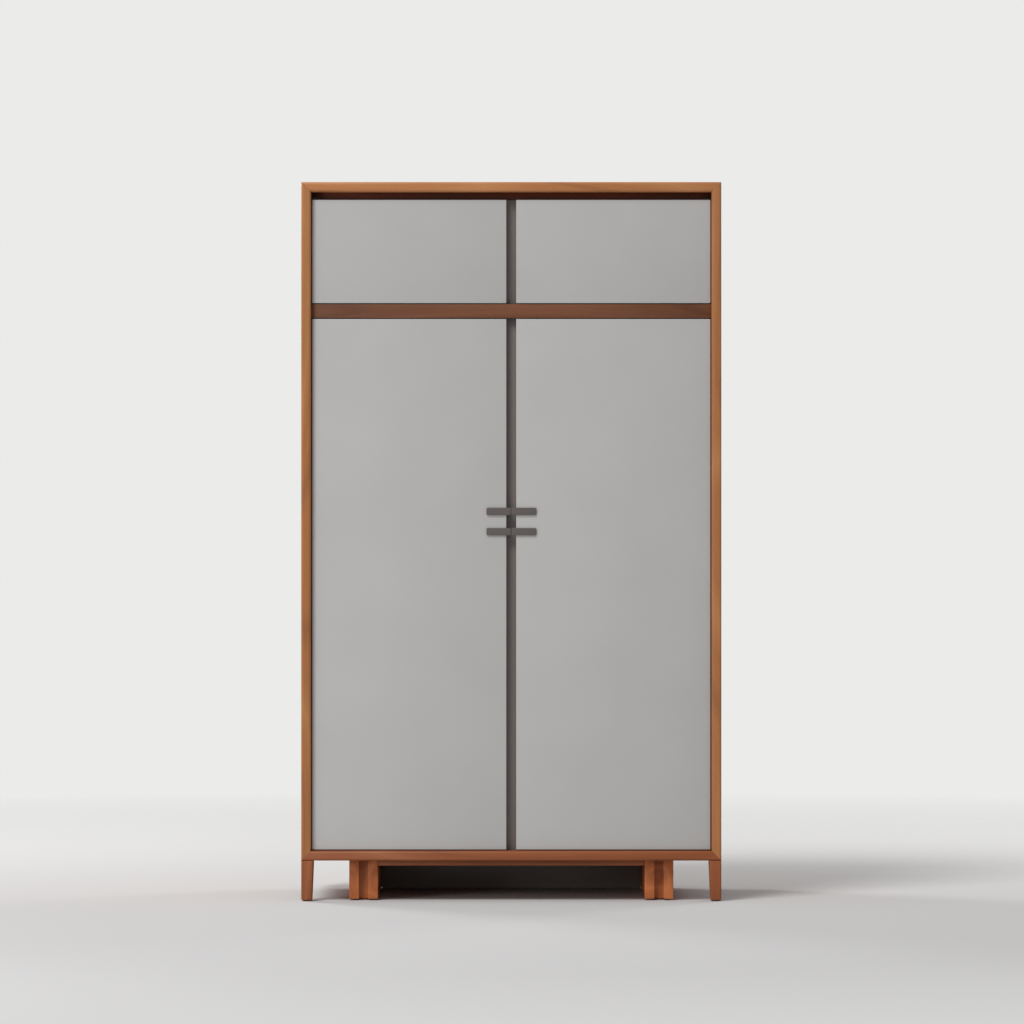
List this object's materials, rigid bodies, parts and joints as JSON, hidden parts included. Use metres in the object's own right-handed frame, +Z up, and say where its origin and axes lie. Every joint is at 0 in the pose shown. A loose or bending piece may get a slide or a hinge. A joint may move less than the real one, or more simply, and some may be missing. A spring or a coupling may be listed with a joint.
{
  "type": "armoire",
  "caption": "Tall free-standing armoire: mitred wooden case on corner legs and runner feet, small doors above long doors, tab pulls by the middle, hanging space and shelves inside.",
  "frame": {"origin": "on the floor, under the middle of the footprint", "axes": "+X to the right of someone facing the doors, +Y from the doors to the back, +Z up"},
  "size_m": [1.2, 0.58, 2.054],
  "materials": {
    "case_wood": "warm orange-brown cherry, satin oil",
    "door_lacquer": "light grey satin lacquer on board",
    "dark_lacquer": "dark warm grey satin lacquer",
    "interior_board": "veneered board, satin",
    "pull_metal": "dark warm grey powder coat",
    "steel": "zinc plated and brushed",
    "glide_plastic": "moulded, matt"
  },
  "bodies": {
    "carcass": {"apron_rail": "case_wood", "back_panel": "interior_board", "bottom_panel": "case_wood", "fixed_shelf": "interior_board", "front_left_glide": "glide_plastic", "front_left_leg": "case_wood", "front_right_glide": "glide_plastic", "front_right_leg": "case_wood", "hanging_rail": "steel", "left_rail_socket": "steel", "left_runner_foot": "case_wood", "left_runner_glide": "glide_plastic", "left_side_panel": "case_wood", "lower_centre_post": "dark_lacquer", "lower_divider": "interior_board", "lower_left_catch": "steel", "lower_left_frame_leaf_bottom": "steel", "lower_left_frame_leaf_top": "steel", "lower_right_catch": "steel", "lower_right_frame_leaf_bottom": "steel", "lower_right_frame_leaf_top": "steel", "mid_rail": "case_wood", "plinth_panel": "dark_lacquer", "right_rail_socket": "steel", "right_runner_foot": "case_wood", "right_runner_glide": "glide_plastic", "right_side_panel": "case_wood", "shelf_1": "interior_board", "shelf_2": "interior_board", "shelf_3": "interior_board", "top_panel": "case_wood", "top_reveal_rail": "case_wood", "upper_centre_post": "dark_lacquer", "upper_divider": "interior_board", "upper_left_catch": "steel", "upper_left_frame_bracket_top": "pull_metal", "upper_left_frame_leaf_bottom": "steel", "upper_right_catch": "steel", "upper_right_frame_bracket_top": "pull_metal", "upper_right_frame_leaf_bottom": "steel"},
    "upper_left_door": {"upper_left_door": "door_lacquer", "upper_left_door_leaf_bottom": "steel", "upper_left_door_leaf_top": "steel", "upper_left_strike": "steel"},
    "upper_right_door": {"upper_right_door": "door_lacquer", "upper_right_door_leaf_bottom": "steel", "upper_right_door_leaf_top": "steel", "upper_right_strike": "steel"},
    "lower_left_door": {"left_lower_pull": "pull_metal", "left_upper_pull": "pull_metal", "lower_left_door": "door_lacquer", "lower_left_door_leaf_bottom": "steel", "lower_left_door_leaf_top": "steel", "lower_left_strike": "steel"},
    "lower_right_door": {"lower_right_door": "door_lacquer", "lower_right_door_leaf_bottom": "steel", "lower_right_door_leaf_top": "steel", "lower_right_strike": "steel", "right_lower_pull": "pull_metal", "right_upper_pull": "pull_metal"}
  },
  "joints": [
    {"name": "upper_left_door_hinge", "type": "hinge", "parent": "carcass", "child": "upper_left_door", "pos_m": [-0.5575, -0.2645, 1.7085], "axis": [0, 0, -1], "range_deg": [0, 105]},
    {"name": "upper_right_door_hinge", "type": "hinge", "parent": "carcass", "child": "upper_right_door", "pos_m": [0.5575, -0.2645, 1.7085], "axis": [0, 0, 1], "range_deg": [0, 105]},
    {"name": "lower_left_door_hinge", "type": "hinge", "parent": "carcass", "child": "lower_left_door", "pos_m": [-0.5575, -0.2645, 0.1465], "axis": [0, 0, -1], "range_deg": [0, 105]},
    {"name": "lower_right_door_hinge", "type": "hinge", "parent": "carcass", "child": "lower_right_door", "pos_m": [0.5575, -0.2645, 0.1465], "axis": [0, 0, 1], "range_deg": [0, 105]}
  ]
}
